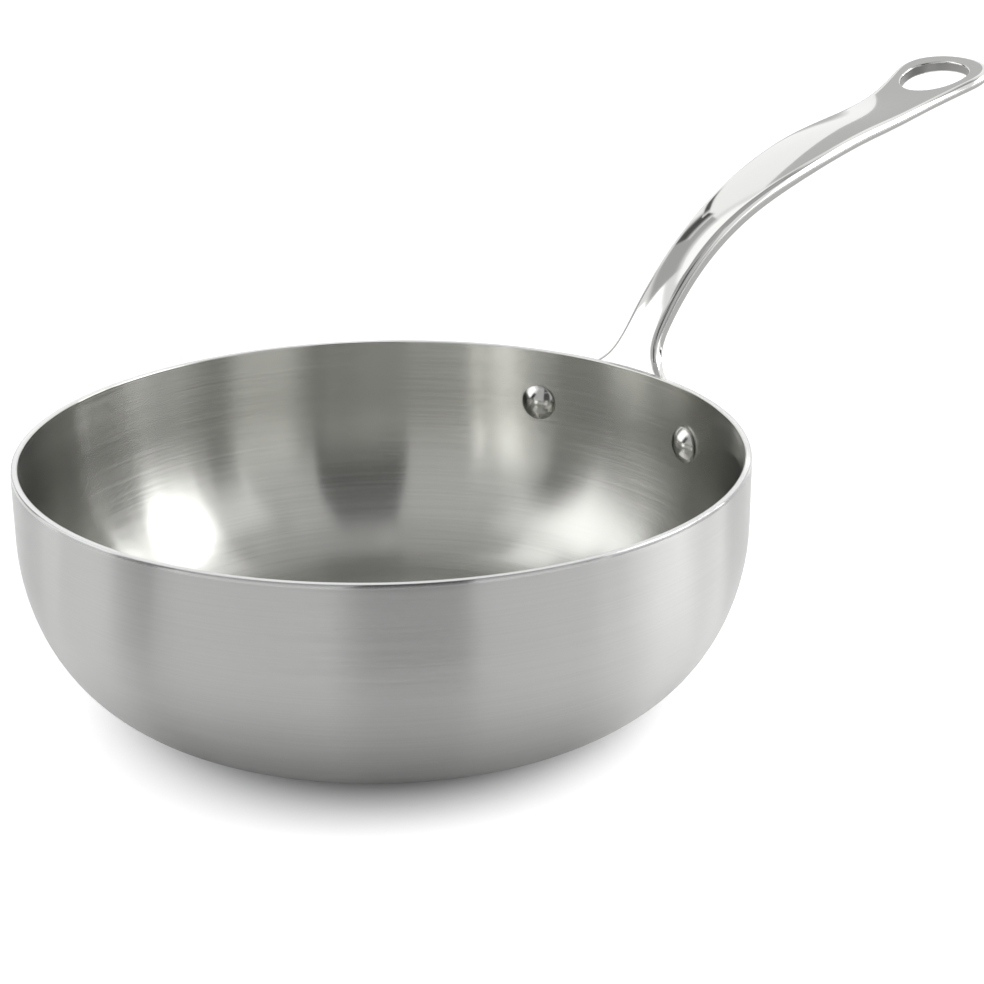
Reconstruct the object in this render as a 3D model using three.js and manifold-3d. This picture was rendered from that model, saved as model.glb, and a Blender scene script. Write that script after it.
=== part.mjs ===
// A round-sided chef's pan: a bowl pressed from clad sheet, with one long cast handle
// held by two solid rivets. Millimetres, +Z up, origin at the centre of the foot, handle along +X.

import * as THREE from "three";
import { mergeVertices } from "three/addons/utils/BufferGeometryUtils.js";
import Module from "manifold-3d";

const wasm = await Module();
wasm.setup();

// The bowl
const INNER_DIAMETER = 240;
const PAN_HEIGHT = 81.4;
const LINER_THICKNESS = 0.5;
const CORE_THICKNESS = 1.4;
const SKIN_THICKNESS = 0.5;
const CORNER_REACH = 43.5;
const CORNER_RISE = 58.2;
const RIM_EASE = 0.3;

// The rivets
const RIVET_SPACING = 74;
const RIVET_DROP = 20.5;
const RIVET_HEAD_DIAMETER = 14.6;
const RIVET_HEAD_HEIGHT = 3.6;
const RIVET_TAIL_DIAMETER = 12;
const RIVET_TAIL_HEIGHT = 2.6;
const SHANK_DIAMETER = 6.4;

// The handle's flange, which hugs the outside of the wall
const FLANGE_MARGIN = 10;
const FLANGE_HEIGHT = 33;
const FLANGE_THICKNESS = 4.5;
const FLANGE_CORNER = 11;

// The handle's strap: stem, grip and eye
const STRAP_THICKNESS = 6.6;
const STRAP_CROWN = 1.6;
const STRAP_EDGE_RADIUS = 2.4;
const ROOT_WIDTH = 32;
const ROOT_FLARE = 9;
const STEM_WIDTH = 16.8;
const STEM_REACH = 31;
const GRIP_WIDTH = 28.6;
const GRIP_REACH = 110;
const NECK_WIDTH = 28;
const NECK_REACH = 158;
const HOLE_WIDTH = 27.2;
const HOLE_NOSE = 11.5;
const HOLE_TAIL = 18.3;
const EYE_SIDE = 6.9;
const EYE_END = 7.4;
const EYE_ROUND = 14.8;
const EYE_THICKNESS = 4.8;
const FLATTEN_FROM = 123;
const FLATTEN_TO = 178;

// The line of the strap's upper face in side view: reach past the wall, rise above the rim
const STRAP_LINE = [
  [-1, -33],
  [-1, -17],
  [0, -2.8],
  [7.2, 10.4],
  [16.4, 22.1],
  [31, 36],
  [56.3, 52],
  [84.5, 62.7],
  [113.5, 70.1],
  [153.2, 75.2],
  [184.4, 81.4],
  [215.4, 90.1],
];

// Clearances: bonded layers, seated pieces, and a shank in its hole
const BOND_GAP = 0.02;
const SEAT_GAP = 0.3;
const HEAD_GAP = 0.05;
const SHANK_GAP = 0.3;

// Facets
const TURNS = 60;
const CORNER_STEPS = 9;
const RIVET_TURNS = 24;
const DOME_STEPS = 5;
const STRAP_RINGS = 44;
const TIP_RINGS = 7;

// Worked out from the driving dimensions
const WALL = LINER_THICKNESS + CORE_THICKNESS + SKIN_THICKNESS;
const INNER_RADIUS = INNER_DIAMETER / 2;
const OUTER_RADIUS = INNER_RADIUS + WALL;
const RIVET_HEIGHT = PAN_HEIGHT - RIVET_DROP;
const RIVET_ANGLE = Math.asin(RIVET_SPACING / 2 / OUTER_RADIUS);
const HOLE_RADIUS = SHANK_DIAMETER / 2 + SHANK_GAP;
const FLANGE_WIDTH = RIVET_SPACING + 2 * FLANGE_MARGIN;
const FLANGE_TOP = RIVET_HEIGHT + FLANGE_HEIGHT / 2;
const FLANGE_FACE = OUTER_RADIUS + SEAT_GAP + FLANGE_THICKNESS;
const TAIL_TOP = FLANGE_FACE + RIVET_TAIL_HEIGHT;
const EYE_WIDTH = HOLE_WIDTH + 2 * EYE_SIDE;
const STRAP_EDGE = Math.min(STRAP_EDGE_RADIUS, STRAP_THICKNESS / 2);

// A closed three.js geometry as a solid that can be joined and cut
function solid(geometry) {
  const bare = geometry.clone();
  bare.deleteAttribute("normal");
  bare.deleteAttribute("uv");
  const merged = mergeVertices(bare, 1e-4);
  const triVerts = [];
  for (let i = 0; i < merged.index.count; i += 3) {
    const [a, b, c] = merged.index.array.slice(i, i + 3);
    if (a !== b && b !== c && c !== a) triVerts.push(a, b, c);
  }
  const vertProperties = merged.attributes.position.array;
  return new wasm.Manifold(
    new wasm.Mesh({ numProp: 3, vertProperties, triVerts: new Uint32Array(triVerts) }),
  );
}

// A solid as a named mesh with its finish
function piece(name, body, finish) {
  const { vertProperties, triVerts } = body.getMesh();
  const geometry = new THREE.BufferGeometry();
  geometry.setAttribute("position", new THREE.BufferAttribute(vertProperties, 3));
  geometry.setIndex(new THREE.BufferAttribute(triVerts, 1));
  geometry.computeVertexNormals();
  const mesh = new THREE.Mesh(geometry, new THREE.MeshStandardMaterial(finish));
  mesh.name = name;
  return mesh;
}

// A profile of (radius, height) points turned about +Z
function turned(profile, turns) {
  return new THREE.LatheGeometry(profile, turns).rotateX(Math.PI / 2);
}

// The bowl's outline, moved in by a depth from its outer face, as one filled block up to a height
function bowlBlock(depth, top, ease) {
  const flat = OUTER_RADIUS - CORNER_REACH;
  const profile = [new THREE.Vector2(0, depth)];
  for (let i = 0; i <= CORNER_STEPS; i++) {
    const angle = (i / CORNER_STEPS) * (Math.PI / 2);
    const across = Math.sin(angle);
    const down = Math.cos(angle);
    const normal = new THREE.Vector2(across / CORNER_REACH, -down / CORNER_RISE).normalize();
    const radius = flat + CORNER_REACH * across - depth * normal.x;
    const height = CORNER_RISE * (1 - down) - depth * normal.y;
    profile.push(new THREE.Vector2(radius, height));
  }
  const wallRadius = OUTER_RADIUS - depth;
  profile.push(new THREE.Vector2(wallRadius, top - ease));
  profile.push(new THREE.Vector2(wallRadius - ease, top));
  profile.push(new THREE.Vector2(0, top));
  return solid(turned(profile, TURNS));
}

// A rod along +X, standing at an angle round the pan's axis at the rivets' height
function rivetRod(radius, from, to, angle) {
  const rod = new THREE.CylinderGeometry(radius, radius, to - from, RIVET_TURNS);
  rod.rotateZ(-Math.PI / 2).translate((from + to) / 2, 0, RIVET_HEIGHT).rotateZ(angle);
  return solid(rod);
}

// Both rivet holes, right through the wall and the flange
const holes = rivetRod(HOLE_RADIUS, INNER_RADIUS / 2, TAIL_TOP, RIVET_ANGLE).add(
  rivetRod(HOLE_RADIUS, INNER_RADIUS / 2, TAIL_TOP, -RIVET_ANGLE),
);

// One layer of the clad sheet, between two depths from the outer face, bored for the rivets
function layer(outerDepth, innerDepth, ease) {
  const shell = bowlBlock(outerDepth, PAN_HEIGHT, ease);
  return shell.subtract(bowlBlock(innerDepth, PAN_HEIGHT * 2, 0)).subtract(holes);
}

const coreDepth = SKIN_THICKNESS + BOND_GAP;
const linerDepth = SKIN_THICKNESS + CORE_THICKNESS;
const outerSteelSkin = layer(0, SKIN_THICKNESS, Math.min(RIM_EASE, SKIN_THICKNESS / 2));
const aluminiumCore = layer(coreDepth, linerDepth - BOND_GAP, 0);
const innerSteelLiner = layer(linerDepth, WALL, 0);

// A plate with round corners across the pan's side, bent to the wall's curve
function flange() {
  const half = FLANGE_WIDTH / 2;
  const bottom = FLANGE_TOP - FLANGE_HEIGHT;
  const r = Math.min(FLANGE_CORNER, half, FLANGE_HEIGHT / 2);
  const outline = new THREE.Shape();
  outline.moveTo(-half + r, bottom);
  outline.absarc(half - r, bottom + r, r, -Math.PI / 2, 0);
  outline.absarc(half - r, FLANGE_TOP - r, r, 0, Math.PI / 2);
  outline.absarc(-half + r, FLANGE_TOP - r, r, Math.PI / 2, Math.PI);
  outline.absarc(-half + r, bottom + r, r, Math.PI, (3 * Math.PI) / 2);
  const block = new THREE.ExtrudeGeometry(outline, {
    depth: FLANGE_FACE * 2,
    bevelEnabled: false,
    curveSegments: 6,
  });
  const acrossUpOut = new THREE.Matrix4().makeBasis(
    new THREE.Vector3(0, 1, 0),
    new THREE.Vector3(0, 0, 1),
    new THREE.Vector3(1, 0, 0),
  );
  const shell = bowlBlock(-SEAT_GAP - FLANGE_THICKNESS, PAN_HEIGHT, 0);
  return solid(block.applyMatrix4(acrossUpOut)).intersect(shell);
}

const strapLine = new THREE.CatmullRomCurve3(
  STRAP_LINE.map(([reach, rise]) => new THREE.Vector3(OUTER_RADIUS + reach, 0, PAN_HEIGHT + rise)),
);
const strapLength = strapLine.getLength();

// A smooth step from one width to another as the reach goes between two places
function widthBetween(reach, from, to, fromWidth, toWidth) {
  return THREE.MathUtils.lerp(fromWidth, toWidth, THREE.MathUtils.smoothstep(reach, from, to));
}

// Half the strap's width at a place on its line: flared root, slim stem, broad grip, round eye
function halfWidth(along) {
  const fromTip = strapLength * (1 - along);
  const reach = strapLine.getPointAt(along).x - OUTER_RADIUS;
  const eyeReach = strapLine.getPointAt(1 - EYE_ROUND / strapLength).x - OUTER_RADIUS;
  if (fromTip < EYE_ROUND) {
    return (EYE_WIDTH / 2) * Math.sqrt(1 - (1 - fromTip / EYE_ROUND) ** 2);
  }
  if (reach > NECK_REACH) return widthBetween(reach, NECK_REACH, eyeReach, NECK_WIDTH, EYE_WIDTH) / 2;
  if (reach > GRIP_REACH) return widthBetween(reach, GRIP_REACH, NECK_REACH, GRIP_WIDTH, NECK_WIDTH) / 2;
  if (reach > STEM_REACH) return widthBetween(reach, STEM_REACH, GRIP_REACH, STEM_WIDTH, GRIP_WIDTH) / 2;
  const flare = 1 - THREE.MathUtils.clamp(reach / ROOT_FLARE, 0, 1);
  return (STEM_WIDTH + (ROOT_WIDTH - STEM_WIDTH) * flare ** 2) / 2;
}

// Corners of the strap's section, crowned on top: sideways from the middle, down from the line
function strapSection(half, thickness, crown) {
  const r = Math.min(STRAP_EDGE, half * 0.8, thickness / 2);
  const flat = half - r;
  const shoulder = crown * Math.min(1, (2 * half) / GRIP_WIDTH) ** 2 * (flat / half) ** 2;
  const side = [];
  side.push([flat / 2, shoulder / 4], [flat, shoulder]);
  side.push([flat + r * Math.SQRT1_2, shoulder + r * (1 - Math.SQRT1_2)], [half, shoulder + r]);
  side.push([half, thickness - r], [flat + r * Math.SQRT1_2, thickness - r * (1 - Math.SQRT1_2)]);
  side.push([flat, thickness]);
  const mirrored = side.map(([across, down]) => [-across, down]).reverse();
  return [[0, 0], ...side, [0, thickness], ...mirrored];
}

// The strap: its section carried along the line, melting into the flange, its crown flattening out
// towards the eye, and rounded over at the tip
function strap() {
  const places = [];
  const straight = 1 - EYE_ROUND / strapLength;
  for (let i = 0; i < STRAP_RINGS; i++) places.push((straight * i) / STRAP_RINGS);
  for (let i = 0; i <= TIP_RINGS; i++) {
    const turn = (i / (TIP_RINGS + 1)) * (Math.PI / 2);
    places.push(straight + (1 - straight) * Math.sin(turn));
  }
  const rings = places.map((along) => {
    const at = strapLine.getPointAt(along);
    const ahead = strapLine.getTangentAt(along);
    const down = new THREE.Vector3(ahead.z, 0, -ahead.x);
    const fromTip = strapLength * (1 - along);
    const short = Math.max(0, STRAP_EDGE - fromTip);
    const drop = STRAP_EDGE - Math.sqrt(STRAP_EDGE ** 2 - short ** 2);
    const melt = THREE.MathUtils.smoothstep(at.z, PAN_HEIGHT + STRAP_LINE[0][1], PAN_HEIGHT);
    const flatten = THREE.MathUtils.smoothstep(at.x - OUTER_RADIUS, FLATTEN_FROM, FLATTEN_TO);
    const rooted = THREE.MathUtils.lerp(FLANGE_THICKNESS, STRAP_THICKNESS, melt);
    const thickness = THREE.MathUtils.lerp(rooted, EYE_THICKNESS, flatten) - 2 * drop;
    const section = strapSection(halfWidth(along), thickness, STRAP_CROWN * (1 - flatten));
    return section.map(([across, depth]) => at.clone().addScaledVector(down, depth + drop).setY(across));
  });
  const sides = rings[0].length;
  const corners = rings.flat();
  const index = [];
  for (let ring = 0; ring < rings.length - 1; ring++) {
    for (let i = 0; i < sides; i++) {
      const a = ring * sides + i;
      const b = ring * sides + ((i + 1) % sides);
      index.push(a, a + sides, b, b, a + sides, b + sides);
    }
  }
  const last = (rings.length - 1) * sides;
  for (let i = 1; i < sides - 1; i++) {
    index.push(0, i, i + 1);
    index.push(last, last + i + 1, last + i);
  }
  const geometry = new THREE.BufferGeometry().setFromPoints(corners);
  geometry.setIndex(index);
  return solid(geometry);
}

// The egg-shaped hanging hole, blunt towards the tip, square to the strap
function hangingHole() {
  const centre = 1 - (EYE_END + HOLE_NOSE) / strapLength;
  const at = strapLine.getPointAt(centre);
  const ahead = strapLine.getTangentAt(centre);
  const outline = new THREE.Shape();
  outline.absellipse(0, 0, HOLE_NOSE, HOLE_WIDTH / 2, -Math.PI / 2, Math.PI / 2);
  outline.absellipse(0, 0, HOLE_TAIL, HOLE_WIDTH / 2, Math.PI / 2, (3 * Math.PI) / 2);
  const depth = STRAP_THICKNESS * 4;
  const plug = new THREE.ExtrudeGeometry(outline, { depth, bevelEnabled: false, curveSegments: 12 });
  const acrossAxis = new THREE.Vector3(0, 1, 0);
  const upAxis = new THREE.Vector3().crossVectors(ahead, acrossAxis);
  plug.translate(0, 0, -depth / 2);
  plug.applyMatrix4(new THREE.Matrix4().makeBasis(ahead, acrossAxis, upAxis).setPosition(at));
  return solid(plug);
}

const seat = bowlBlock(-SEAT_GAP, PAN_HEIGHT, 0);
const handle = flange().add(strap()).subtract(seat).subtract(holes).subtract(hangingHole());

// A low round dome over a disc: points from its rim to its crown, (radius, height)
function dome(diameter, height) {
  const half = diameter / 2;
  const ball = (half ** 2 + height ** 2) / (2 * height);
  const sweep = Math.asin(Math.min(1, half / ball));
  const points = [];
  for (let i = DOME_STEPS; i >= 0; i--) {
    const angle = (sweep * i) / DOME_STEPS;
    points.push(new THREE.Vector2(ball * Math.sin(angle), height - ball * (1 - Math.cos(angle))));
  }
  return points;
}

// The bowl's radius at a height, measured at a depth from its outer face
function radiusAt(height, depth) {
  const down = THREE.MathUtils.clamp(1 - height / CORNER_RISE, 0, 1);
  const across = Math.sqrt(1 - down ** 2);
  const lean = Math.hypot(1, (down * CORNER_REACH) / (across * CORNER_RISE));
  return OUTER_RADIUS - CORNER_REACH * (1 - across) - depth * lean;
}

// The head's flat back meets the hollow wall at its own edge; the tail's meets the flange's middle
const headHalf = RIVET_HEAD_DIAMETER / 2;
const headWall = radiusAt(RIVET_HEIGHT - headHalf, WALL) * Math.cos(Math.PI / TURNS);
const headSeat = Math.sqrt(headWall ** 2 - headHalf ** 2) - HEAD_GAP;
const tailHalf = RIVET_TAIL_DIAMETER / 2;
const tailSeat = radiusAt(RIVET_HEIGHT + tailHalf, -SEAT_GAP - FLANGE_THICKNESS) + HEAD_GAP;

// A solid rivet: domed head inside the pan, shank through wall and flange, upset tail outside
function rivet(angle) {
  const profile = dome(RIVET_HEAD_DIAMETER, RIVET_HEAD_HEIGHT).reverse();
  for (const point of profile) point.y = headSeat - point.y;
  profile.push(new THREE.Vector2(SHANK_DIAMETER / 2, headSeat));
  profile.push(new THREE.Vector2(SHANK_DIAMETER / 2, tailSeat));
  for (const point of dome(RIVET_TAIL_DIAMETER, RIVET_TAIL_HEIGHT)) {
    profile.push(new THREE.Vector2(point.x, tailSeat + point.y));
  }
  const body = new THREE.LatheGeometry(profile, RIVET_TURNS);
  body.rotateZ(-Math.PI / 2).translate(0, 0, RIVET_HEIGHT).rotateZ(angle);
  return solid(body);
}

const BRUSHED_STEEL = { color: 0xb9b8b4, roughness: 0.32, metalness: 1 };
const ALUMINIUM = { color: 0xc9cacb, roughness: 0.45, metalness: 1 };
const POLISHED_STEEL = { color: 0xd2d2d0, roughness: 0.08, metalness: 1 };

const pan = new THREE.Group();
pan.name = "chefs_pan";
pan.add(piece("outer_steel_skin", outerSteelSkin, BRUSHED_STEEL));
pan.add(piece("aluminium_core", aluminiumCore, ALUMINIUM));
pan.add(piece("inner_steel_liner", innerSteelLiner, BRUSHED_STEEL));
pan.add(piece("handle", handle, POLISHED_STEEL));
pan.add(piece("rivet_left", rivet(RIVET_ANGLE), POLISHED_STEEL));
pan.add(piece("rivet_right", rivet(-RIVET_ANGLE), POLISHED_STEEL));

export default pan;
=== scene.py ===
# A round-sided chef's pan in clad steel with one long riveted handle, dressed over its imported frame.
# Metres, +Z up, origin at the centre of the base's underside, handle along +X.
import math

import bpy
import numpy as np
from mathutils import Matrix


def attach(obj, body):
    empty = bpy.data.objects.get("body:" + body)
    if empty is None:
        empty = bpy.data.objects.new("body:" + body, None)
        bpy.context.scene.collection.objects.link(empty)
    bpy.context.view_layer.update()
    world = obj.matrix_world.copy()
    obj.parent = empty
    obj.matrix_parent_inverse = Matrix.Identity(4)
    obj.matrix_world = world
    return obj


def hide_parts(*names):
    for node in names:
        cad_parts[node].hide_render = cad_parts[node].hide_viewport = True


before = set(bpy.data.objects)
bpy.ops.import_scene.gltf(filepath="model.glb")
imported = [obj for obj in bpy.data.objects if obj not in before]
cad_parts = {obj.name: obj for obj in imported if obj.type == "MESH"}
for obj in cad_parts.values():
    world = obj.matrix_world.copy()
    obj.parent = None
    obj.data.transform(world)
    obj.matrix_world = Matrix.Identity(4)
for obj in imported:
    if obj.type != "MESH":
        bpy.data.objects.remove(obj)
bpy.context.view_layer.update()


# Outer steel skin
# The outside ply of the clad sheet, 0.5 mm of stainless steel bonded to the aluminium core. The flat
# disc is pressed into a round-sided bowl and brushed on a lathe. Its edge is cut level, rolled a
# little way over and polished.

# Sizes of the pan are in millimetres, and each mesh is turned to metres as it is made
MM = 0.001
INNER_DIAMETER = 240.0
PAN_HEIGHT = 81.4
LINER_THICKNESS = 0.5
CORE_THICKNESS = 1.4
SKIN_THICKNESS = 0.5
CORNER_REACH = 43.5
CORNER_RISE = 58.2
RIM_EASE = 0.42
RIM_ROLL = 2.4
SHARP_EDGE = 0.02
EDGE_SUPPORT = 0.15
BOND_GAP = 0.02
WALL = LINER_THICKNESS + CORE_THICKNESS + SKIN_THICKNESS
INNER_RADIUS = INNER_DIAMETER / 2
OUTER_RADIUS = INNER_RADIUS + WALL
POLISH_FADE = 0.3
HAIR_SPACING = 0.6
HAIR_RUN = 60.0
HAIR_RANGE = (0.3, 0.7)
HAIR_WEAR = (0.93, 1.07)
HAIR_SHADE = 0.94
BOWL_TURNS = 288
FLOOR_RINGS = 14
CORNER_RINGS = 44
WALL_RINGS = 10
EASE_RINGS = 8


def bowl_face(depth, top):
    """One face of the bowl from its middle to a height, moved in by a depth from the outer face.

    A flat floor, a quarter ellipse R = flat + reach sin t, Z = rise (1 - cos t), then an upright
    wall; each point of the ellipse goes in along its own normal by the depth.
    """
    flat = OUTER_RADIUS - CORNER_REACH
    turn = np.linspace(0, np.pi / 2, CORNER_RINGS)
    normal = np.stack([np.sin(turn) / CORNER_REACH, -np.cos(turn) / CORNER_RISE], axis=1)
    normal /= np.linalg.norm(normal, axis=1, keepdims=True)
    ellipse = np.stack([flat + CORNER_REACH * np.sin(turn), CORNER_RISE * (1 - np.cos(turn))], axis=1)
    floor = np.stack([np.linspace(0, flat, FLOOR_RINGS), np.full(FLOOR_RINGS, depth)], axis=1)
    wall_heights = np.append(np.linspace(CORNER_RISE, top - EDGE_SUPPORT, WALL_RINGS), top)
    wall = np.stack([np.full(WALL_RINGS + 1, OUTER_RADIUS - depth), wall_heights], axis=1)
    return np.vstack([floor[:-1], ellipse - depth * normal, wall[1:]])


def ply_line(outer_depth, inner_depth, outer_ease, outer_roll, inner_ease):
    """The closed section of one ply: up its outer face, over its cut edge, down its inner face.

    The upper corners are a quarter ellipse as wide as the outer ease and as tall as the roll, and a
    quarter circle of the inner ease.
    """
    turn = np.linspace(0, np.pi / 2, EASE_RINGS + 1)[1:]
    outer_corner = OUTER_RADIUS - outer_depth - outer_ease * (1 - np.cos(turn))
    inner_corner = OUTER_RADIUS - inner_depth + inner_ease * (1 - np.sin(turn[:-1]))
    over_outer = np.stack([outer_corner, PAN_HEIGHT - outer_roll * (1 - np.sin(turn))], axis=1)
    over_inner = np.stack([inner_corner, PAN_HEIGHT - inner_ease * (1 - np.cos(turn[:-1]))], axis=1)
    edge = np.array([[OUTER_RADIUS - inner_depth + inner_ease, PAN_HEIGHT]])
    up = bowl_face(outer_depth, PAN_HEIGHT - outer_roll)
    down = bowl_face(inner_depth, PAN_HEIGHT - inner_ease)[::-1]
    return np.vstack([up, over_outer, edge, over_inner, down])


def way_along(line):
    """The length of a line of points from its start to each of its points."""
    return np.append(0, np.cumsum(np.linalg.norm(np.diff(line, axis=0), axis=1)))


def turned(line, turns):
    """A (radius, height) line carried round +Z: x = r cos a, y = r sin a, z = h.

    The line starts and ends on the axis, where two single points close the mesh. Returns points,
    faces and a UV for each face corner: U is the way along the line, V the way round.
    """
    r, h = line.T
    angle = np.arange(turns) * (2 * np.pi / turns)
    rings = len(r) - 2
    around = np.stack([np.cos(angle), np.sin(angle)], axis=1)
    body = np.empty((rings, turns, 3))
    body[:, :, :2] = r[1:-1, None, None] * around
    body[:, :, 2] = h[1:-1, None]
    points = np.vstack([body.reshape(-1, 3), [[0, 0, h[0]], [0, 0, h[-1]]]])
    i, j = np.meshgrid(np.arange(rings - 1), np.arange(turns), indexing="ij")
    k = (j + 1) % turns
    quads = np.stack([i * turns + j, i * turns + k, (i + 1) * turns + k, (i + 1) * turns + j], axis=-1)
    j, k = np.arange(turns), (np.arange(turns) + 1) % turns
    last_ring = (rings - 1) * turns
    first = np.stack([np.full(turns, rings * turns), k, j], axis=1)
    last = np.stack([last_ring + j, last_ring + k, np.full(turns, rings * turns + 1)], axis=1)
    way = way_along(line)
    u = way / way[-1]
    v = np.arange(turns + 1) / turns
    a, b = np.meshgrid(np.arange(1, rings), np.arange(turns), indexing="ij")
    quad_uv = np.stack([u[a], v[b], u[a], v[b + 1], u[a + 1], v[b + 1], u[a + 1], v[b]], axis=-1)
    middle = (v[:-1] + v[1:]) / 2
    first_u, last_u = np.full(turns, u[1]), np.full(turns, u[-2])
    first_uv = np.stack([u[:1].repeat(turns), middle, first_u, v[1:], first_u, v[:-1]], axis=1)
    last_uv = np.stack([last_u, v[:-1], last_u, v[1:], u[-1:].repeat(turns), middle], axis=1)
    faces = quads.reshape(-1, 4).tolist() + first.tolist() + last.tolist()
    return points, faces, np.concatenate([quad_uv.ravel(), first_uv.ravel(), last_uv.ravel()])


def shown(name, points, faces, uv, material, frame_node, slot):
    """Put a smooth mesh into the scene in metres and let it stand for its frame node."""
    mesh = bpy.data.meshes.new(name)
    mesh.from_pydata((points * MM).tolist(), [], faces)
    if uv is not None:
        mesh.uv_layers.new(name="lay").data.foreach_set("uv", uv)
    mesh.shade_smooth()
    mesh.materials.append(material)
    piece = bpy.data.objects.new(name, mesh)
    bpy.context.collection.objects.link(piece)
    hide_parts(frame_node)
    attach(piece, "root")
    return piece


def linear(colour):
    """An sRGB hex colour as linear red, green, blue and alpha."""
    part = np.array([int(colour[i:i + 2], 16) for i in (1, 3, 5)]) / 255
    light = np.where(part <= 0.04045, part / 12.92, ((part + 0.055) / 1.055) ** 2.4)
    return (*light.tolist(), 1.0)


def node(tree, kind, inputs=None, **settings):
    """Add a node, give it its settings, then set each named input or link it to a socket."""
    added = tree.nodes.new(kind)
    for setting, value in settings.items():
        setattr(added, setting, value)
    for socket, value in (inputs or {}).items():
        if isinstance(value, bpy.types.NodeSocket):
            tree.links.new(value, added.inputs[socket])
        else:
            added.inputs[socket].default_value = value
    return added


def bare_material(name):
    """A new material and its node tree, with no nodes in it yet."""
    material = bpy.data.materials.new(name)
    material.use_nodes = True
    material.node_tree.nodes.clear()
    return material, material.node_tree


def lathe_brushed_metal(name, colour, length, brushed, polished, polish_height):
    """Sheet metal brushed round and round on a lathe.

    The grooves lie round the pan, so each light is drawn out into a tall band across them, with
    faint hair lines along them. The cut edge is polished above a height, so it mirrors sharply. Real
    grooves are some 0.05 mm apart; the hair lines are drawn 0.6 mm apart, so that they show.
    """
    material, tree = bare_material(name)
    place = node(tree, "ShaderNodeTexCoord")
    here = node(tree, "ShaderNodeSeparateXYZ", {"Vector": place.outputs["Object"]})
    lay = node(tree, "ShaderNodeUVMap", uv_map="lay")
    along = node(tree, "ShaderNodeSeparateXYZ", {"Vector": lay.outputs["UV"]})
    spot = node(
        tree, "ShaderNodeCombineXYZ",
        {"X": here.outputs["X"], "Y": here.outputs["Y"], "Z": along.outputs["X"]},
    )
    lines_at = node(
        tree, "ShaderNodeMapping",
        {
            "Vector": spot.outputs["Vector"],
            "Scale": (1 / (HAIR_RUN * MM), 1 / (HAIR_RUN * MM), length / HAIR_SPACING),
        },
    )
    hair_lines = node(
        tree, "ShaderNodeTexNoise",
        {"Vector": lines_at.outputs["Vector"], "Scale": 1.0, "Detail": 1.0, "Roughness": 0.5},
    )
    polish = node(
        tree, "ShaderNodeMapRange",
        {
            "Value": here.outputs["Z"],
            "From Min": (polish_height - POLISH_FADE) * MM,
            "From Max": (polish_height + POLISH_FADE) * MM,
            "To Min": brushed,
            "To Max": polished,
        },
    )
    wear = node(
        tree, "ShaderNodeMapRange",
        {
            "Value": hair_lines.outputs["Fac"],
            "From Min": HAIR_RANGE[0],
            "From Max": HAIR_RANGE[1],
            "To Min": HAIR_WEAR[0],
            "To Max": HAIR_WEAR[1],
        },
    )
    finish = node(
        tree, "ShaderNodeMath",
        {0: polish.outputs["Result"], 1: wear.outputs["Result"]},
        operation="MULTIPLY",
    )
    light_tone = np.array(linear(colour)[:3])
    shade = node(tree, "ShaderNodeValToRGB", {"Fac": hair_lines.outputs["Fac"]})
    tones = (light_tone * HAIR_SHADE, light_tone)
    for stop, position, tone in zip(shade.color_ramp.elements, HAIR_RANGE, tones):
        stop.position = position
        stop.color = (*tone.tolist(), 1.0)
    across = node(tree, "ShaderNodeTangent", direction_type="UV_MAP", uv_map="lay")
    steel = node(
        tree, "ShaderNodeBsdfPrincipled",
        {
            "Base Color": shade.outputs["Color"],
            "Metallic": 1.0,
            "Roughness": finish.outputs["Value"],
            "Anisotropic": 1.0,
            "Tangent": across.outputs["Tangent"],
        },
    )
    node(tree, "ShaderNodeOutputMaterial", {"Surface": steel.outputs["BSDF"]})
    return material


skin_line = ply_line(0, SKIN_THICKNESS, RIM_EASE, RIM_ROLL, SHARP_EDGE)
skin_steel = lathe_brushed_metal(
    "lathe_brushed_steel_outside", "#c4c4c3", way_along(skin_line)[-1],
    brushed=0.37, polished=0.2, polish_height=PAN_HEIGHT - RIM_ROLL / 2,
)
shown("outer_skin", *turned(skin_line, BOWL_TURNS), skin_steel, "outer_steel_skin", "brushed_steel")


# Aluminium core
# The middle ply, 1.4 mm of soft aluminium that carries the heat. It is shut between the two steels,
# so only its cut and polished edge shows, as a line along the middle of the rim.

core_line = ply_line(
    SKIN_THICKNESS + BOND_GAP, WALL - LINER_THICKNESS - BOND_GAP, SHARP_EDGE, SHARP_EDGE, SHARP_EDGE
)
core_metal = lathe_brushed_metal(
    "cut_aluminium_edge", "#dcdcdc", way_along(core_line)[-1],
    brushed=0.30, polished=0.12, polish_height=PAN_HEIGHT,
)
shown("core_ply", *turned(core_line, BOWL_TURNS), core_metal, "aluminium_core", "core_aluminium")


# Inner steel liner
# The ply that the food touches, 0.5 mm of stainless steel. It is brushed the same way as the skin but
# finer, and its upper edge is eased and polished so that it doesn't cut the hand.

liner_line = ply_line(WALL - LINER_THICKNESS, WALL, SHARP_EDGE, SHARP_EDGE, RIM_EASE)
liner_steel = lathe_brushed_metal(
    "lathe_brushed_steel_inside", "#d2d2ce", way_along(liner_line)[-1],
    brushed=0.215, polished=0.12, polish_height=PAN_HEIGHT - RIM_EASE,
)
shown("inner_liner", *turned(liner_line, BOWL_TURNS), liner_steel, "inner_steel_liner", "brushed_steel")


# Handle
# One stainless casting: a flange that hugs the wall, a slim stem that sweeps up and out, a broad
# crowned grip and a flat eye to hang it by. It is polished to a mirror, and only the wall of its
# hanging hole is left as it was ground; that wall's dark grey colour is painted shade.

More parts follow.
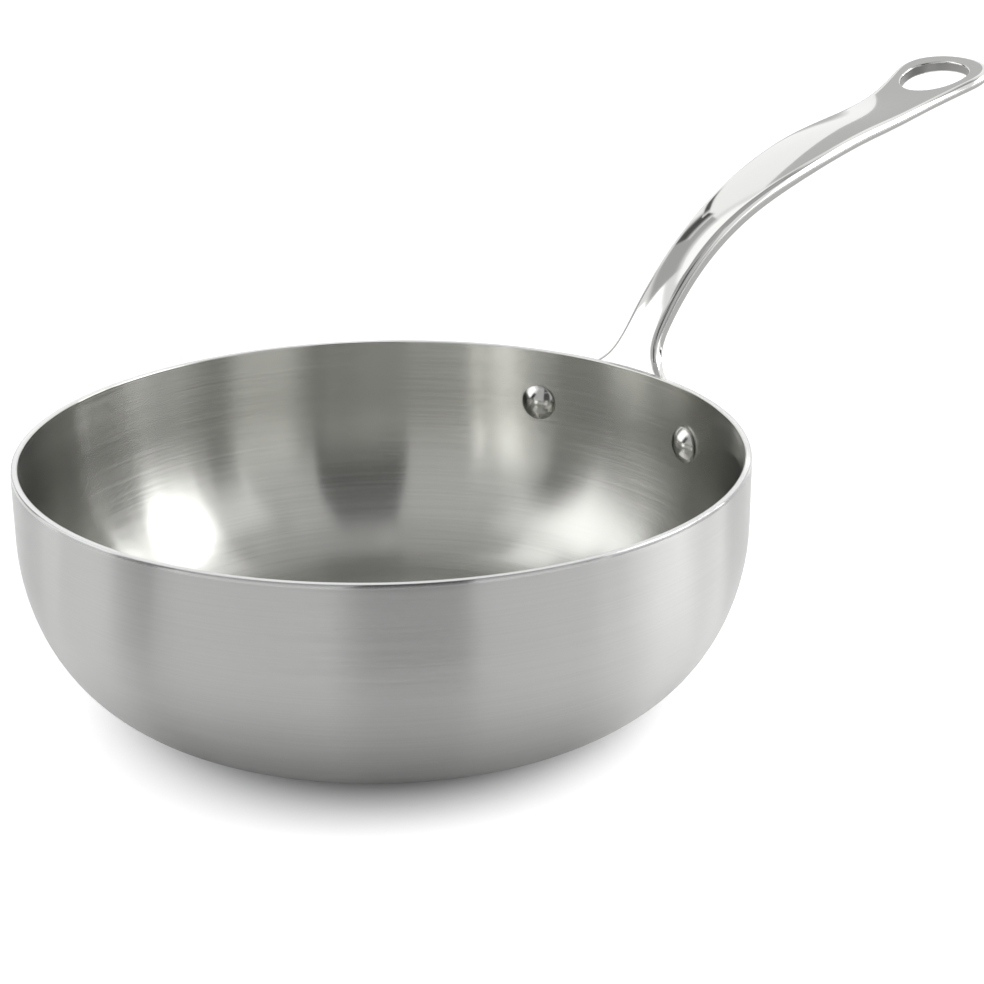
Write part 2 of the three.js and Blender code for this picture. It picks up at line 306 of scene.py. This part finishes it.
STRAP_THICKNESS = 6.6
FLANGE_THICKNESS = 4.5
EDGE_REACH = 2.4
FLANGE_EDGE = 0.8
UNDER_EDGE = 1.8
CROWN_RADIUS = 64.0
HOLE_EDGE = 0.7
HOLE_HALF_WIDTH = 13.6
HOLE_NOSE = 11.5
HOLE_TAIL = 18.3
EYE_END = 7.4
EYE_DROP = 1.8
SEAT_GAP = 0.3
FLANGE_MIDDLE = -17.0
FLANGE_TOP = -0.5
FLARE_END = 12.0
FLANGE_ROWS = 150
STEM_ROWS = 250
EYE_ROWS = 96
FACE_COLUMNS = 14
EDGE_COLUMNS = 8
HOLE_COLUMNS = 6
SIDE_ROWS = 4
FINE = 6000
WELD_DIGITS = 4
LEAST_BEND = 1e-6
HAZE_SPREAD = 15.0
HAZE_RANGE = (0.3, 0.7)

# Ways along the line, past the root point, over which the bend to the wall dies away, the thickness
# grows, the crown and the rounder edges begin, and the crown dies away into the flat eye
BEND_END = (-2, 12)
SWELL = (-14, 12)
CROWN_START = (-4, 10)
CROWN_END = (150, 205)

# Upper face in side view: reach past the wall and rise above the rim
STRAP_LINE = np.array([
    [-0.94, -37.0], [0.0, -30.0], [0.3, -20.0], [0.35, -10.0], [0.5, -2.8], [2.3, 1.9], [7.2, 10.4],
    [16.4, 22.1], [31.0, 36.0], [56.3, 52.0], [84.5, 62.7], [113.5, 70.1], [153.0, 76.2],
    [184.0, 83.1], [214.9, 91.8],
])
ROOT_POINT = 4

# Outline of one half in plan: way along the line past the root point, and half width
STRAP_OUTLINE = np.array([
    [-34.3, 0.0], [-34.3, 16.0], [-33.9, 30.0], [-31.0, 40.5], [-24.5, 46.0], [-17.0, 47.2],
    [-9.5, 46.6], [-3.6, 43.4], [-1.2, 37.0], [-1.4, 29.5], [-0.9, 22.5], [1.6, 16.6], [5.5, 12.6],
    [10.5, 10.1], [16.0, 8.8], [24.0, 8.4], [40.0, 8.4], [60.0, 9.0], [80.0, 10.3], [100.0, 12.1],
    [120.0, 13.7], [140.0, 14.35], [160.0, 14.05], [180.0, 14.05], [195.0, 14.7], [208.0, 16.6],
    [219.0, 19.0], [229.0, 20.5], [237.0, 17.7], [242.0, 10.6], [243.9, 0.0],
])


def smooth_curve(points, count):
    """A natural cubic spline through points, laid out by chord length, at evenly spaced places.

    The second slopes m solve, at each inner point, h0 m0 + 2 (h0 + h1) m1 + h1 m2 = 6 (change of
    slope), with m = 0 at both ends, so the curve bends without a kink anywhere.
    """
    chord = np.linalg.norm(np.diff(points, axis=0), axis=1)
    place = np.append(0, np.cumsum(chord))
    size = len(points)
    bands = np.eye(size)
    inner = np.arange(1, size - 1)
    bands[inner, inner - 1] = chord[:-1]
    bands[inner, inner] = 2 * (chord[:-1] + chord[1:])
    bands[inner, inner + 1] = chord[1:]
    slope = np.diff(points, axis=0) / chord[:, None]
    change = np.zeros_like(points)
    change[1:-1] = 6 * np.diff(slope, axis=0)
    m = np.linalg.solve(bands, change)
    at = np.linspace(0, place[-1], count)
    k = np.clip(np.searchsorted(place, at, side="right") - 1, 0, size - 2)
    h = chord[k][:, None]
    left, right = (place[k + 1] - at)[:, None], (at - place[k])[:, None]
    bend = (m[k] * left ** 3 + m[k + 1] * right ** 3) / (6 * h)
    from_left = (points[k] / h - m[k] * h / 6) * left
    from_right = (points[k + 1] / h - m[k + 1] * h / 6) * right
    return bend + (from_left + from_right)


def at_way(curve, way, places):
    """The points of a curve at given lengths from its start."""
    return np.stack([np.interp(places, way, column) for column in curve.T], axis=-1)


def ease(value, start, end):
    """A smooth step from 0 to 1 between two places: t t (3 - 2 t)."""
    t = np.clip((value - start) / (end - start), 0, 1)
    return t * t * (3 - 2 * t)


def square_to(curve):
    """Unit normals to the left of a plane curve, from the slopes of its points."""
    slope = np.gradient(curve, axis=0)
    slope /= np.linalg.norm(slope, axis=1, keepdims=True)
    return np.stack([-slope[:, 1], slope[:, 0]], axis=1)


strap_line = smooth_curve(STRAP_LINE, FINE)
strap_way = way_along(strap_line)
root_way = strap_way[np.argmin(np.linalg.norm(strap_line - STRAP_LINE[ROOT_POINT], axis=1))]
whole_outline = np.vstack([STRAP_OUTLINE * (1, -1), STRAP_OUTLINE[-2::-1]])
outline = smooth_curve(whole_outline, 2 * FINE - 1)[FINE - 1:][::-1]


def egg_length(turn):
    """Half length of the hanging hole on the side that a turn points to: long tail, short nose."""
    return np.where(np.cos(turn) < 0, HOLE_TAIL, HOLE_NOSE)


def egg(turn, centre):
    """Outline of the hanging hole: two half ellipses of one width, a long tail and a short nose."""
    return np.stack([centre + egg_length(turn) * np.cos(turn), HOLE_HALF_WIDTH * np.sin(turn)], axis=1)


def strap_rows():
    """Rows of the handle's plan, each from its middle line or its hole out to its outline.

    Three runs of rows: a fan over the flange, straight across the stem and grip, and a fan round
    the eye. Each gives its inner points, their normals, its outer points and their inward normals.
    """
    outline_way = way_along(outline)
    inward = -square_to(outline)
    inward[0], inward[-1] = (1, 0), (-1, 0)
    tip = outline[-1, 0]
    nose = tip - EYE_END
    centre = nose - HOLE_NOSE
    tail = centre - HOLE_TAIL
    past_flange = np.argmax(outline[:, 0] > FLANGE_TOP)
    flare = past_flange + np.argmax(outline[past_flange:, 0] > FLARE_END)
    neck = past_flange + np.argmax(outline[past_flange:, 0] > tail - HOLE_EDGE)
    stops = [0, outline_way[flare], outline_way[neck], outline_way[-1]]
    counts = [FLANGE_ROWS, STEM_ROWS, EYE_ROWS]
    outer_places = [np.linspace(a, b, n + 1) for a, b, n in zip(stops[:-1], stops[1:], counts)]
    middle = [
        np.linspace(FLANGE_MIDDLE, FLARE_END, FLANGE_ROWS + 1),
        np.linspace(FLARE_END, tail - HOLE_EDGE, STEM_ROWS + 1),
    ]
    turn = np.linspace(np.pi, 0, FINE)
    hole_way = way_along(egg(turn, centre))
    turn = np.interp(np.linspace(0, hole_way[-1], EYE_ROWS + 1), hole_way, turn)
    runs = []
    for places, line in zip(outer_places, middle):
        inner = np.stack([line, np.zeros_like(line)], axis=1)
        edge = (at_way(outline, outline_way, places), at_way(inward, outline_way, places))
        runs.append((inner, None, *edge))
    hole_normal = np.stack([np.cos(turn) / egg_length(turn), np.sin(turn) / HOLE_HALF_WIDTH], axis=1)
    hole_normal /= np.linalg.norm(hole_normal, axis=1, keepdims=True)
    hole_normal[0], hole_normal[-1] = (-1, 0), (1, 0)
    hole = egg(turn, centre)
    hole[0, 1], hole[-1, 1] = 0, 0
    places = outer_places[2]
    edge = (at_way(outline, outline_way, places), at_way(inward, outline_way, places))
    runs.append((hole, hole_normal, *edge))
    return runs


def strap_grid(inner, hole_normal, outer, inward):
    """The plan of a run of rows: points, and how far each is let down by the rounded edges.

    From the outline in, a quarter round of a turn a stands EDGE_REACH (1 - cos a) from the edge and
    is let down by (1 - sin a); beside the hole the same holds from the hole out.
    """
    turn = np.linspace(0, np.pi / 2, EDGE_COLUMNS + 1)
    reach = EDGE_REACH * (1 - np.cos(turn))
    edge = outer[:, None] + inward[:, None] * reach[:, None]
    edge_drop = np.broadcast_to(1 - np.sin(turn), edge.shape[:2])
    start = inner if hole_normal is None else inner + hole_normal * HOLE_EDGE
    share = np.linspace(0, 1, FACE_COLUMNS + 1)[:, None]
    face = start[:, None] * (1 - share) + edge[:, -1:] * share
    none = np.zeros(face.shape[:2])
    plan = [face[:, :-1], edge[:, ::-1]]
    outer_drop = [none[:, :-1], edge_drop[:, ::-1]]
    hole_drop = [none[:, :-1], np.zeros_like(edge_drop)]
    if hole_normal is not None:
        turn = np.linspace(0, np.pi / 2, HOLE_COLUMNS + 1)[:-1]
        lip = inner[:, None] + hole_normal[:, None] * (HOLE_EDGE * (1 - np.cos(turn)))[:, None]
        plan.insert(0, lip)
        outer_drop.insert(0, np.zeros(lip.shape[:2]))
        hole_drop.insert(0, np.broadcast_to(1 - np.sin(turn), lip.shape[:2]))
    return [np.concatenate(part, axis=1) for part in (plan, outer_drop, hole_drop)]


def strap_faces(plan, outer_drop, hole_drop):
    """Heights of the upper and under faces over a plan, square to the strap's line.

    The upper face falls away from the middle line as y y / (2 crown radius) over stem and grip, and
    drops a little to the flat eye. Both faces close in by their edge radii at the outline and round
    the hole.
    """
    s, y = plan[..., 0], plan[..., 1]
    out, flat = ease(s, *CROWN_START), ease(s, *CROWN_END)
    crown = out * (1 - flat) * y ** 2 / (2 * CROWN_RADIUS)
    upper_edge = FLANGE_EDGE + (EDGE_REACH - FLANGE_EDGE) * out
    thickness = FLANGE_THICKNESS + (STRAP_THICKNESS - FLANGE_THICKNESS) * ease(s, *SWELL)
    upper = -crown - EYE_DROP * flat - upper_edge * outer_drop - HOLE_EDGE * hole_drop
    under = -thickness + UNDER_EDGE * outer_drop + HOLE_EDGE * hole_drop
    return upper, under


def strap_place(plan, height):
    """A point of the plan at a height off the strap, carried onto the line and bent round the wall.

    On the line: its point at the way along, plus the height along its normal, with y across. Then
    the flange is bent to the wall's radius R, the bend dying away up the stem: a point at x, y goes
    to R + (R / w) (cos b - 1) + (x - R) cos b, (R / w) sin b + (x - R) sin b, where b = w y / R.
    """
    s, y = plan[..., 0], plan[..., 1]
    at = at_way(strap_line, strap_way, s + root_way)
    up = at_way(square_to(strap_line), strap_way, s + root_way)
    x = OUTER_RADIUS + at[..., 0] + up[..., 0] * height
    z = PAN_HEIGHT + at[..., 1] + up[..., 1] * height
    radius = OUTER_RADIUS + SEAT_GAP
    wrap = np.maximum(1 - ease(s, *BEND_END), LEAST_BEND)
    bend = wrap * y / radius
    across = radius / wrap * np.sin(bend) + (x - radius) * np.sin(bend)
    out = radius + radius / wrap * (np.cos(bend) - 1) + (x - radius) * np.cos(bend)
    return np.stack([out, across, z], axis=-1)


def grid_quads(rows, columns, first, flip):
    """Faces of a grid of points that starts at a number, turned over where flip is set."""
    i, j = np.meshgrid(np.arange(rows - 1), np.arange(columns - 1), indexing="ij")
    corner = first + i * columns + j
    ring = [corner, corner + columns, corner + columns + 1, corner + 1]
    return np.stack(ring[::-1] if flip else ring, axis=-1).reshape(-1, 4)


def strap_sheets():
    """All grids of one half of the handle, each with whether its faces turn over and line the hole."""
    sheets = []
    for inner, hole_normal, outer, inward in strap_rows():
        plan, outer_drop, hole_drop = strap_grid(inner, hole_normal, outer, inward)
        upper, under = strap_faces(plan, outer_drop, hole_drop)
        sheets.append((strap_place(plan, upper), False, False))
        sheets.append((strap_place(plan, under), True, False))
        down = np.linspace(0, 1, SIDE_ROWS + 1)
        rims = [(-1, False)] if hole_normal is None else [(-1, False), (0, True)]
        for column, flip in rims:
            edge = np.repeat(plan[:, column, None], SIDE_ROWS + 1, axis=1)
            height = upper[:, column, None] * (1 - down) + under[:, column, None] * down
            sheets.append((strap_place(edge, height), flip, column == 0))
    return sheets


def both_halves(sheets):
    """The half and its mirror image in y, with every point that they share welded into one.

    Also gives the number of each face's finish: 0 polished, or 1 ground and darkened with painted
    shade, in the hole.
    """
    points, faces, finish, first = [], [], [], 0
    for grid, flip, in_hole in sheets:
        rows, columns = grid.shape[:2]
        for side in (1, -1):
            points.append((grid * (1, side, 1)).reshape(-1, 3))
            faces.append(grid_quads(rows, columns, first, flip != (side < 0)))
            finish.append(np.full((rows - 1) * (columns - 1), int(in_hole)))
            first += rows * columns
    points, faces = np.vstack(points), np.vstack(faces)
    key = np.round(points, WELD_DIGITS) + 0.0
    _, index, inverse = np.unique(key, axis=0, return_index=True, return_inverse=True)
    return points[index], inverse.reshape(-1)[faces].tolist(), np.concatenate(finish)


def wheel_finished_steel(name, colour, clear, dull):
    """Solid stainless steel finished on a wheel.

    A cloth wheel leaves a clear mirror and a grinding wheel a dull grey. On both a soft haze comes
    and goes over some 15 mm, where the wheel bore down less.
    """
    material, tree = bare_material(name)
    place = node(tree, "ShaderNodeTexCoord")
    haze = node(
        tree, "ShaderNodeTexNoise",
        {"Vector": place.outputs["Object"], "Scale": 1 / (HAZE_SPREAD * MM), "Detail": 2.0},
    )
    gloss = node(
        tree, "ShaderNodeMapRange",
        {
            "Value": haze.outputs["Fac"],
            "From Min": HAZE_RANGE[0],
            "From Max": HAZE_RANGE[1],
            "To Min": clear,
            "To Max": dull,
        },
    )
    steel = node(
        tree, "ShaderNodeBsdfPrincipled",
        {"Base Color": linear(colour), "Metallic": 1.0, "Roughness": gloss.outputs["Result"]},
    )
    node(tree, "ShaderNodeOutputMaterial", {"Surface": steel.outputs["BSDF"]})
    return material


cast_steel = wheel_finished_steel("mirror_polished_cast_steel", "#d8d8d6", clear=0.05, dull=0.09)
# The hole's wall: ground rough, and its colour darkened as painted shade, the shadowed floor behind the
# pan that it mirrors
ground_shaded_steel = wheel_finished_steel("ground_cast_steel_painted_shade", "#8c8c8a", clear=0.34, dull=0.42)
strap_points, strap_quads, strap_finish = both_halves(strap_sheets())
strap = shown("cast_handle", strap_points, strap_quads, None, cast_steel, "handle", "polished_steel")
strap.data.materials.append(ground_shaded_steel)
strap.data.polygons.foreach_set("material_index", strap_finish)


# Rivets
# Two solid stainless rivets hold the flange to the wall. Each has a low domed head inside the pan, a
# shank through the three plies and the flange, and a tail hammered into a smaller dome outside.

RIVET_SPACING = 74.0
RIVET_DROP = 20.5
HEAD_DIAMETER = 14.6
HEAD_HEIGHT = 3.6
TAIL_DIAMETER = 12.0
TAIL_HEIGHT = 2.6
SHANK_RADIUS = 3.2
HEAD_SEAT = 119.55
TAIL_SEAT = 127.25
HEAD_SKIRT = 0.7
TAIL_SKIRT = 0.6
RIVET_TURNS = 64
DOME_RINGS = 16
LIP_RINGS = 6


def dome_line(diameter, height, skirt):
    """A low dome from its crown to its rim: a circle arc, then a round as tall as the skirt."""
    half = diameter / 2
    rise = height - skirt
    span = half - skirt
    ball = (span ** 2 + rise ** 2) / (2 * rise)
    turn = np.linspace(0, math.asin(span / ball), DOME_RINGS)
    arc = np.stack([ball * np.sin(turn), height - ball * (1 - np.cos(turn))], axis=1)
    over = np.linspace(turn[-1], np.pi / 2, LIP_RINGS)[1:]
    start = np.array([span, skirt]) - skirt * np.array([np.sin(turn[-1]), np.cos(turn[-1])])
    lip = start + skirt * np.stack([np.sin(over), np.cos(over)], axis=1)
    lip[:, 1] = np.maximum(lip[:, 1], 0)
    return np.vstack([arc, lip, [[lip[-1, 0], 0]]])


def rivet(angle):
    """The rivet's section turned about its own axis, then stood out from the pan's axis at an angle."""
    head = dome_line(HEAD_DIAMETER, HEAD_HEIGHT, HEAD_SKIRT) * (1, -1) + (0, HEAD_SEAT)
    tail = dome_line(TAIL_DIAMETER, TAIL_HEIGHT, TAIL_SKIRT) + (0, TAIL_SEAT)
    shank = np.array([[SHANK_RADIUS, HEAD_SEAT], [SHANK_RADIUS, TAIL_SEAT]])
    points, faces, uv = turned(np.vstack([head, shank, tail[::-1]]), RIVET_TURNS)
    across = np.array([-math.sin(angle), math.cos(angle), 0])
    out = np.array([math.cos(angle), math.sin(angle), 0])
    up = np.array([0, 0, 1.0])
    return points @ np.stack([across, up, out]) + up * (PAN_HEIGHT - RIVET_DROP), faces, uv


rivet_steel = wheel_finished_steel("polished_rivet_steel", "#cfcfcc", clear=0.14, dull=0.2)
rivet_angle = math.asin(RIVET_SPACING / 2 / OUTER_RADIUS)
shown("left_rivet", *rivet(rivet_angle), rivet_steel, "rivet_left", "polished_steel")
shown("right_rivet", *rivet(-rivet_angle), rivet_steel, "rivet_right", "polished_steel")


# Floor
# A wide sheet of matt white paper that the pan stands on, running out of sight on every side. Camera
# and metal see it glow white. The glow fades out under the pan, where its shadow lies, so the glow's
# ramp paints the edge and depth of that shadow over the real one: a painted shadow, narrower to the
# sides and moved toward the camera. Metal sees the glow only past a wider ring, a painted shade that
# darkens the floor mirrored in the foot of the bowl.

# How far the handle turns away to the right as the camera sees it, then sizes in metres
HANDLE_AZIMUTH = math.radians(45.5)
FLOOR_HALF = 6.0
FLOOR_DROP = 0.0001
# The painted shadow: where the glow is measured from, how much narrower it is to the sides, and the
# radii and levels of the glow's ramp; then the ring inside which metal sees no glow, a painted shade
PAINTED_SHADOW_CENTRE = (-0.003, -0.003, 0)
PAINTED_SHADOW_WIDTH = 0.83
GLOW_RADII = (0.070, 0.132, 0.260)
GLOW_LEVELS = (0.0, 0.74, 0.5)
SHADE_RADII = (0.12, 0.19)

paper, paper_tree = bare_material("matt_white_paper")
paper_place = node(paper_tree, "ShaderNodeTexCoord")
shadow_place = node(
    paper_tree, "ShaderNodeMapping",
    {
        "Vector": paper_place.outputs["Object"],
        "Location": PAINTED_SHADOW_CENTRE,
        "Rotation": (0, 0, -HANDLE_AZIMUTH),
        "Scale": (PAINTED_SHADOW_WIDTH, 1, 1),
    },
    vector_type="TEXTURE",
)
from_axis = node(
    paper_tree, "ShaderNodeVectorMath", {0: shadow_place.outputs["Vector"]}, operation="LENGTH"
)
glow_ramp = node(paper_tree, "ShaderNodeValToRGB", {"Fac": from_axis.outputs["Value"]})
glow_ramp.color_ramp.interpolation = "EASE"
glow_ramp.color_ramp.elements.new(0.5)
for glow_stop, glow_radius, glow in zip(glow_ramp.color_ramp.elements, GLOW_RADII, GLOW_LEVELS):
    glow_stop.position = glow_radius
    glow_stop.color = (glow, glow, glow, 1)
ray = node(paper_tree, "ShaderNodeLightPath")
# Painted shade for the metal: it sees no glow near the pan, so the floor mirrored there is darker than
# the floor the camera sees
past_shadow = node(
    paper_tree, "ShaderNodeMapRange",
    {"Value": from_axis.outputs["Value"], "From Min": SHADE_RADII[0], "From Max": SHADE_RADII[1]},
)
mirrored = node(
    paper_tree, "ShaderNodeMath",
    {0: ray.outputs["Is Glossy Ray"], 1: past_shadow.outputs["Result"]},
    operation="MULTIPLY",
)
direct = node(
    paper_tree, "ShaderNodeMath",
    {0: ray.outputs["Is Camera Ray"], 1: mirrored.outputs["Value"]},
    operation="ADD",
)
seen = node(
    paper_tree, "ShaderNodeMath",
    {0: direct.outputs["Value"], 1: ray.outputs["Is Transmission Ray"]},
    operation="ADD", use_clamp=True,
)
paper_glow = node(
    paper_tree, "ShaderNodeEmission",
    {"Color": glow_ramp.outputs["Color"], "Strength": seen.outputs["Value"]},
)
paper_skin = node(paper_tree, "ShaderNodeBsdfDiffuse", {"Color": linear("#d6d6d6")})
paper_both = node(
    paper_tree, "ShaderNodeAddShader",
    {0: paper_skin.outputs["BSDF"], 1: paper_glow.outputs["Emission"]},
)
node(paper_tree, "ShaderNodeOutputMaterial", {"Surface": paper_both.outputs["Shader"]})
floor_mesh = bpy.data.meshes.new("floor")
floor_corners = np.array([[-1, -1, 0], [1, -1, 0], [1, 1, 0], [-1, 1, 0]]) * FLOOR_HALF
floor_mesh.from_pydata((floor_corners - (0, 0, FLOOR_DROP)).tolist(), [], [[0, 1, 2, 3]])
floor_mesh.materials.append(paper)
floor = bpy.data.objects.new("floor", floor_mesh)
bpy.context.collection.objects.link(floor)


# Camera
# It looks down over the near rim from the side, with the handle going away to the right.

# Where it stands and its lens, in millimetres, and how it is tilted, in radians
CAMERA_SIDE = 36.06
CAMERA_BACK = 674.48
CAMERA_HEIGHT = 314.37
CAMERA_PITCH = 0.35578
CAMERA_ROLL = 0.00471
LENS = 78.06
SENSOR_WIDTH = 36.0
VIEW_REACH = 50.0

sight = np.array([
    [math.cos(HANDLE_AZIMUTH), -math.sin(HANDLE_AZIMUTH), 0],
    [math.sin(HANDLE_AZIMUTH), math.cos(HANDLE_AZIMUTH), 0],
    [0, 0, 1.0],
])
right, level_ahead, up = sight
ahead = level_ahead * math.cos(CAMERA_PITCH) - up * math.sin(CAMERA_PITCH)
over = level_ahead * math.sin(CAMERA_PITCH) + up * math.cos(CAMERA_PITCH)
rolled_right = right * math.cos(CAMERA_ROLL) - over * math.sin(CAMERA_ROLL)
rolled_over = right * math.sin(CAMERA_ROLL) + over * math.cos(CAMERA_ROLL)
stand = (right * CAMERA_SIDE - level_ahead * CAMERA_BACK + up * CAMERA_HEIGHT) * MM
lens = bpy.data.cameras.new("camera")
lens.lens = LENS
lens.sensor_width = SENSOR_WIDTH
lens.clip_end = VIEW_REACH
camera = bpy.data.objects.new("camera", lens)
bpy.context.collection.objects.link(camera)
turned_to = np.eye(4)
turned_to[:3, 0] = rolled_right
turned_to[:3, 1] = rolled_over
turned_to[:3, 2] = -ahead
turned_to[:3, 3] = stand
camera.matrix_world = turned_to.T.tolist()
bpy.context.scene.camera = camera
bpy.context.scene.view_settings.view_transform = "Standard"


# Light
# A white tent lights the pan evenly from all sides. Tall softboxes and a lit backdrop on its wall draw
# the bright bands in the steel. Black and grey cloths hung between them, and their ends on the table,
# draw the dark ones.

# Distances in metres, and how far the cards shade off at their sides and ends, in degrees
TENT_RADIUS = 4.0
TENT_LEVEL = 1.0
CARD_STEPS = 24
CARD_GAP = 0.02
SIDE_FADE = 0.7
LIFT_FADE = 3.0
CLOTH_LIFT = 0.001

# Each card: bearings of its two lower corners, then of its two upper ones, then lifts of its lower
# and upper edges, all in degrees, and how bright it is. Each hangs a little nearer than the one before
# it and hides what is behind it
CARDS = {
    "overhead_scrim": (-180, 180, -180, 180, 60, 90, 0.46),
    "overhead_softbox": (-75, 10, -75, 10, 55, 66, 1.4),
    "left_softbox": (-98, -63.5, -114, -66, 2, 52, 1.8),
    "right_softbox": (74, 92, 74, 92, 7, 48, 5.6),
    "right_softbox_side": (92, 101, 92, 98, 7, 48, 3.0),
    "right_side_fill": (101, 107, 98, 104, 5, 40, 2.3),
    "right_fill": (61, 74, 61, 74, 1, 50, 2.3),
    "right_strip": (58.5, 61.5, 58.5, 61.5, 3, 36, 13.0),
    "lit_backdrop": (-24, 58, -24, 50, 0, 55, 1.2),
    "backdrop_foot": (-5, 14, -3, 16, 0, 17, 0.6),
    "far_left_black_cloth": (-63, -44, -54, -42, 0, 40, 0.2),
    "boom_grey_cloth": (-71, -20, -62, -24, 42, 57, 0.5),
    "boom_black_cloth": (-39, -20, -37, -21, 42, 51, 0.1),
    "boom_arm": (-9.5, -7.5, -24, -20, 31, 46, 0.1),
    "front_scrim": (124, 236, 124, 236, 0, 64, 0.58),
    "right_top_cloth": (68, 124, 68, 124, 51, 66, 0.4),
    "right_black_cloth": (112, 124, 112, 124, 2, 24, 0.3),
    "left_black_cloth": (-119, -98, -129, -113, 0, 36, 0.03),
    "camera_cloth_top": (149, 185, 147, 184, 44, 72, 0.14),
    "camera_cloth": (153, 187, 149, 185, 0, 47, 0.09),
    "table_edge": (-40, 130, -40, 130, 0, 5, 0.1),
}

cloth, cloth_tree = bare_material("lit_cloth")
cloth_level = node(cloth_tree, "ShaderNodeAttribute", attribute_name="level")
cloth_light = node(
    cloth_tree, "ShaderNodeEmission",
    {"Color": (1, 1, 1, 1), "Strength": cloth_level.outputs["Fac"]},
)
node(cloth_tree, "ShaderNodeOutputMaterial", {"Surface": cloth_light.outputs["Emission"]})


def hung(name, points, level):
    """Hang a grid of points as a sheet that gives off a level of light at each point.

    The camera doesn't see it, and the steel does.
    """
    mesh = bpy.data.meshes.new(name)
    faces = grid_quads(*points.shape[:2], 0, False)
    mesh.from_pydata(points.reshape(-1, 3).tolist(), [], faces.tolist())
    mesh.attributes.new("level", "FLOAT", "POINT").data.foreach_set("value", level.ravel())
    mesh.materials.append(cloth)
    sheet = bpy.data.objects.new(name, mesh)
    sheet.visible_camera = False
    bpy.context.collection.objects.link(sheet)
    return sheet


def studio_card(name, radius, low_left, low_right, high_left, high_right, low, high, level):
    """A sheet on the tent's wall, shading off at its edges into the tent's own light.

    A bearing b and a lift e stand at R (ahead cos b cos e + right sin b cos e + up sin e), where b is
    counted from straight behind the pan to the right.
    """
    share = (1 - np.cos(np.linspace(0, np.pi, CARD_STEPS + 1))) / 2
    left = low_left + (high_left - low_left) * share
    side = low_right + (high_right - low_right) * share - left
    bearing = left + side * share[:, None]
    lift = np.broadcast_to(low + (high - low) * share, bearing.shape)
    inside = np.minimum(bearing - left, left + side - bearing)
    shade = ease(inside, 0, SIDE_FADE) * ease(high - lift, 0, LIFT_FADE)
    if low > 0:  # only a card that hangs clear of the table shades off at its foot as well
        shade = shade * ease(lift - low, 0, LIFT_FADE)
    b, e = np.radians(bearing)[..., None], np.radians(lift)[..., None]
    around = level_ahead * np.cos(b) + right * np.sin(b)
    points = radius * (around * np.cos(e) + up * np.sin(e))
    hung(name, points, TENT_LEVEL + (level - TENT_LEVEL) * shade)


for card_number, (card_name, card_sizes) in enumerate(CARDS.items()):
    studio_card(card_name, TENT_RADIUS - CARD_GAP * card_number, *card_sizes)

# A small grey card close behind the handle, mirrored along the grip: its lower left, upper left, lower
# right and upper right corner, each as right, ahead and up, in millimetres
NEAR_CARD = [[[222, 400, 230], [125, 400, 500]], [[262, 400, 230], [262, 400, 500]]]
NEAR_CARD_LEVEL = 0.64
hung("near_grey_card", np.array(NEAR_CARD) * MM @ sight, np.full((2, 2), NEAR_CARD_LEVEL))

# Ends of the hung cloths and sheets of paper that lie on the table out of the picture, mirrored by the
# pan's wall. Each: bearings of its two near corners, then of its two far ones, in degrees, how far off
# both ends are, in metres, and how bright it is
TABLE_CLOTHS = {
    "left_cloth_end": (-128, -115, -115, -98, 0.20, 1.6, 0.5),
    "camera_cloth_end": (159, 188, 155, 190, 0.21, 0.5, 0.9),
    "camera_cloth_foot": (155, 188, 155, 188, 0.5, 2.4, 0.2),
    "right_cloth_end": (103, 124, 85, 108, 0.20, 1.6, 0.6),
    "left_paper": (-115, -95, -98, -70, 0.20, 1.6, 0.8),
    "right_paper": (48, 103, 60, 85, 0.34, 1.6, 0.62),
}


def laid(name, near_left, near_right, far_left, far_right, near, far, level):
    """A sheet flat on the table: a bearing b and a reach r stand at r (ahead cos b + right sin b).

    The bearings of its two sides run evenly from its near end to its far one. It lights and shades
    nothing, and the steel alone sees it.
    """
    share = np.linspace(0, 1, CARD_STEPS + 1)
    left = near_left + (far_left - near_left) * share
    side = near_right + (far_right - near_right) * share - left
    b = np.radians(left + side * share[:, None])[..., None]
    reach = (near * (far / near) ** share)[:, None]
    points = reach * (level_ahead * np.cos(b) + right * np.sin(b)) + up * CLOTH_LIFT
    sheet = hung(name, points, np.full(points.shape[:2], level))
    sheet.visible_diffuse = False
    sheet.visible_shadow = False


for cloth_name, cloth_sizes in TABLE_CLOTHS.items():
    laid(cloth_name, *cloth_sizes)

tent = bpy.data.worlds.new("white_tent")
bpy.context.scene.world = tent
tent.use_nodes = True
tent_tree = tent.node_tree
tent_tree.nodes.clear()
tent_light = node(
    tent_tree, "ShaderNodeBackground", {"Color": (1, 1, 1, 1), "Strength": TENT_LEVEL}
)
node(tent_tree, "ShaderNodeOutputWorld", {"Surface": tent_light.outputs["Background"]})
